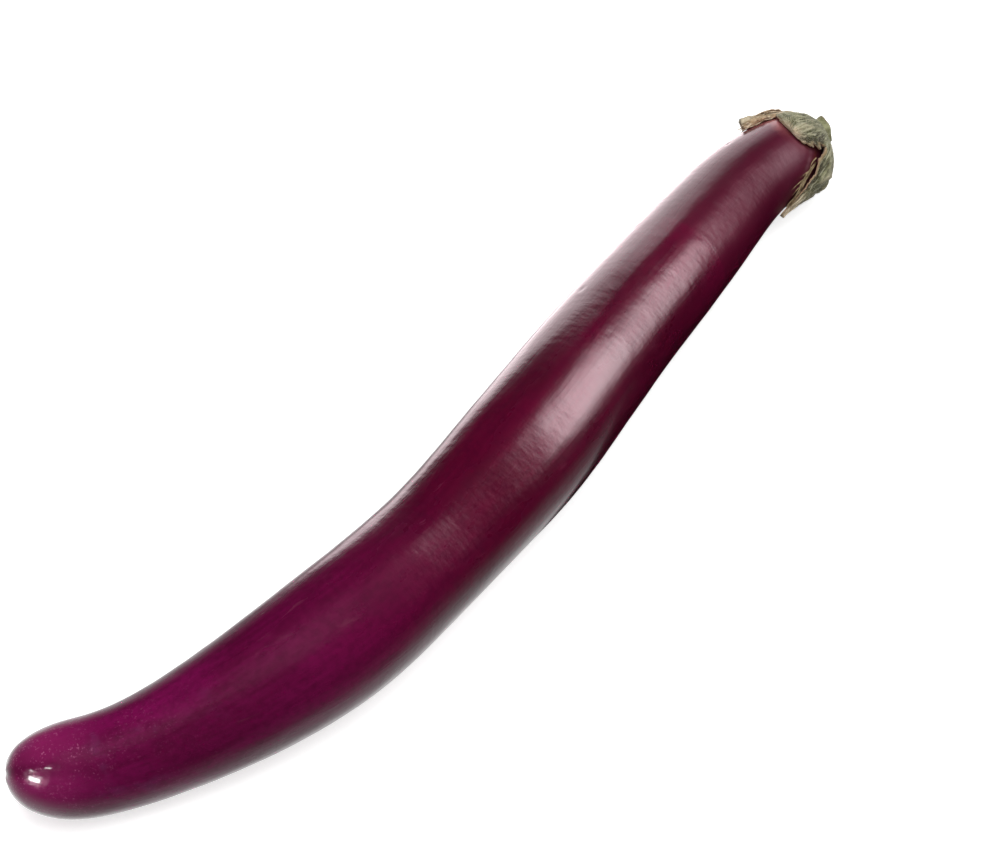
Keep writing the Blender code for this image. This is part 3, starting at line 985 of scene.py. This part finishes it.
hair_points, hair_faces = [], []
outer_faces = [face for face in calyx_faces if all(calyx_notes[i][0] == 0.0 for i in face)]
for _ in range(HAIRS):
    corners = [calyx_points[i] for i in chance.choice(outer_faces)]
    root = sum(corners, Vector()) / len(corners)
    normal = (corners[1] - corners[0]).cross(corners[-1] - corners[0])
    if normal.length < 1e-9:
        continue
    normal.normalize()
    lean = Vector((chance.uniform(-1, 1), chance.uniform(-1, 1), chance.uniform(-1, 1)))
    tall = chance.uniform(0.25, 0.60) + 0.6 * chance.random() ** 4
    end_point = root + (normal + lean * 0.55).normalized() * tall
    if end_point.z > 0.2:
        spike(hair_points, hair_faces, [root - normal * 0.1, end_point], [0.035])

fibre_points, fibre_faces = [], []
for number, which in enumerate(FRAYED):
    t = chance.uniform(0.05, 0.75)
    across = chance.uniform(0.75, 1.0) if which == LONG_SEPAL else chance.uniform(-1.0, 1.0)
    reach, around = sepal_at(which, 1.0, t, across)
    run = chance.uniform(2.0, 4.0) if which == LAYERED_SEPAL else chance.uniform(5.0, 11.0)
    drift, lift = chance.uniform(-0.30, 0.16), chance.uniform(0.2, 1.6)
    path = []
    for step in range(12):
        s = step / 11
        wave = 0.25 * math.sin(5 * s + number)
        path.append(fruit.from_stem(reach + run * s, around + drift * s**1.3, 0.7 + lift * s * s + wave * s))
    if min(point.z for point in path) > 1.2:
        spike(fibre_points, fibre_faces, path, [0.20 * (1 - i / 12) + 0.04 for i in range(11)], 5)

hair_finish, shader, start = new_finish("pale_hair", Roughness=0.7, Specular_IOR_Level=0.3)
tint = start.node("ShaderNodeTexCoord", {}, {}, 3).cloud(900.0)
connect(shader, Base_Color=tint.fade(0.35, 0.65).blend(paint(168, 164, 136), paint(226, 220, 198)))
fibre_finish, shader, start = new_finish("dry_fibre", Roughness=0.75, Specular_IOR_Level=0.25)
tint = start.node("ShaderNodeTexCoord", {}, {}, 3).cloud(500.0, 3.0)
connect(shader, Base_Color=tint.fade(0.35, 0.65).blend(paint(96, 78, 56), paint(176, 156, 122)))

for name, points, faces, finish in (
    ("felt_hairs", hair_points, hair_faces, hair_finish),
    ("loose_fibres", fibre_points, fibre_faces, fibre_finish),
):
    new_piece(name, points, faces, finish)
    print(name, len(faces), "faces")

# %% [markdown]
# ## The stub of the stem
#
# The stem is cut a few millimetres above the calyx. It is a short ridged bar that leans to one side, and its cut
# face has dried: a corky ring of bark, a paler ring of wood and a sunken brown pith.

# %% Build the stem
STEM_LENGTH, STEM_BEND, STEM_LEAN = 3.2, 10.0, 50.0
STEM_DIAMETERS = (9.2, 8.4, 8.6)
STEM_CUT_SLANT, STEM_RIDGES, STEM_RIDGE = 20.0, 5, 0.25
STEM_SIDES, STEM_RINGS, CUT_RINGS = 120, 22, 16


def build_stem():
    forward, upward, sideways = fruit.axes(fruit.length)
    lean, bend = math.radians(STEM_LEAN), math.radians(STEM_BEND)
    towards = upward * math.sin(lean) + sideways * math.cos(lean)
    across = forward.cross(towards)
    turn = STEM_LENGTH / bend
    thickness = Spline(np.linspace(0, 1, 3), np.array(STEM_DIAMETERS))
    first = hub_top + forward * 0.05
    points, cut, faces, rings = [], [], [], []

    def ring_at(t, shrink, sink):
        angle = bend * t
        centre = first + forward * (turn * math.sin(angle)) + towards * (turn * (1 - math.cos(angle)))
        ahead = forward * math.cos(angle) + towards * math.sin(angle)
        side = across.cross(ahead)
        ring = []
        for j in range(STEM_SIDES):
            around = 2 * math.pi * j / STEM_SIDES
            radius = thickness(t) / 2 + STEM_RIDGE * math.cos(STEM_RIDGES * around)
            radius += 0.12 * noise.noise(Vector((math.cos(around) * 3, math.sin(around) * 3, t * 1.5)))
            offset = (side * math.cos(around) + across * math.sin(around)) * (radius * shrink)
            slant = math.tan(math.radians(STEM_CUT_SLANT)) * offset.dot(side) * t**4
            rough = 0.18 * noise.noise(offset * 0.9) * (1 if sink else 0)
            points.append(centre + offset + ahead * (slant - sink + rough))
            cut.append(1 - shrink if sink or shrink < 1 else -t)
            ring.append(len(points) - 1)
        rings.append(ring)

    for i in range(STEM_RINGS + 1):
        t = i / STEM_RINGS
        ring_at(t, 1 - 0.05 * max(t - 0.92, 0) / 0.08, 0.0)
    for i in range(1, CUT_RINGS):
        shrink = 1 - i / CUT_RINGS
        sink = 0.12 + 0.35 * (1 - shrink) + (0.5 if shrink < 0.32 else 0.0)
        ring_at(1.0, shrink * 0.95, sink)
    for a, b in zip(rings, rings[1:]):
        for i in range(STEM_SIDES):
            j = (i + 1) % STEM_SIDES
            faces.append((a[i], a[j], b[j], b[i]))
    for ring, flip in ((rings[0], True), (rings[-1], False)):
        centre = sum((points[i] for i in ring), Vector()) / STEM_SIDES
        points.append(centre)
        cut.append(1.0 if not flip else 0.0)
        for a, b in zip(ring, ring[1:] + ring[:1]):
            faces.append((len(points) - 1, b, a) if flip else (len(points) - 1, a, b))
    return points, cut, faces


stem_finish, shader, start = new_finish("cut_stem", Sheen_Weight=0.3, Sheen_Roughness=0.5, Specular_IOR_Level=0.3)
place = start.node("ShaderNodeTexCoord", {}, {}, 3).stretch(1000, 1000, 1000)
cut = attribute(start, "cut", 2)
tone = place.cloud(0.5, 3.0, 0.6)
fibre = place.cloud(3.2, 3.0, 0.65)
bark = tone.fade(0.35, 0.68).blend(paint(112, 112, 78), paint(160, 162, 126))
bark = (fibre.fade(0.45, 0.75) * 0.4).blend(bark, paint(122, 96, 66))
face = cut.fade(0.05, 0.18).blend(paint(110, 84, 56), paint(178, 170, 132))
face = (cut + (tone - 0.5) * 0.15).fade(0.62, 0.72).blend(face, paint(140, 106, 72))
face = (fibre.fade(0.5, 0.8) * 0.4).blend(face, paint(98, 76, 52))
height = fibre * 0.7 + tone * 0.4
bump = start.node("ShaderNodeBump", {}, {"Strength": 0.8, "Distance": 0.0003, "Height": height})
connect(shader, Base_Color=cut.fade(-0.001, 0.04).blend(bark, face), Roughness=0.7 + fibre * 0.2, Normal=bump)

stem_points, stem_cut, stem_faces = build_stem()
stem = new_piece("stem_stub", stem_points, stem_faces, stem_finish, "stem")
store(stem.data, "cut", stem_cut)
print("stem", len(stem_points), "points")

# %% [markdown]
# ## Keep the sizes
#
# The dressed model may not outgrow the measured one, so both boxes are written down side by side.

# %% Write the sizes and finish
dressed_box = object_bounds()
for name, box in (("measured", frame_box), ("dressed", dressed_box)):
    print(name, [[round(v / MM, 2) for v in corner] for corner in box])
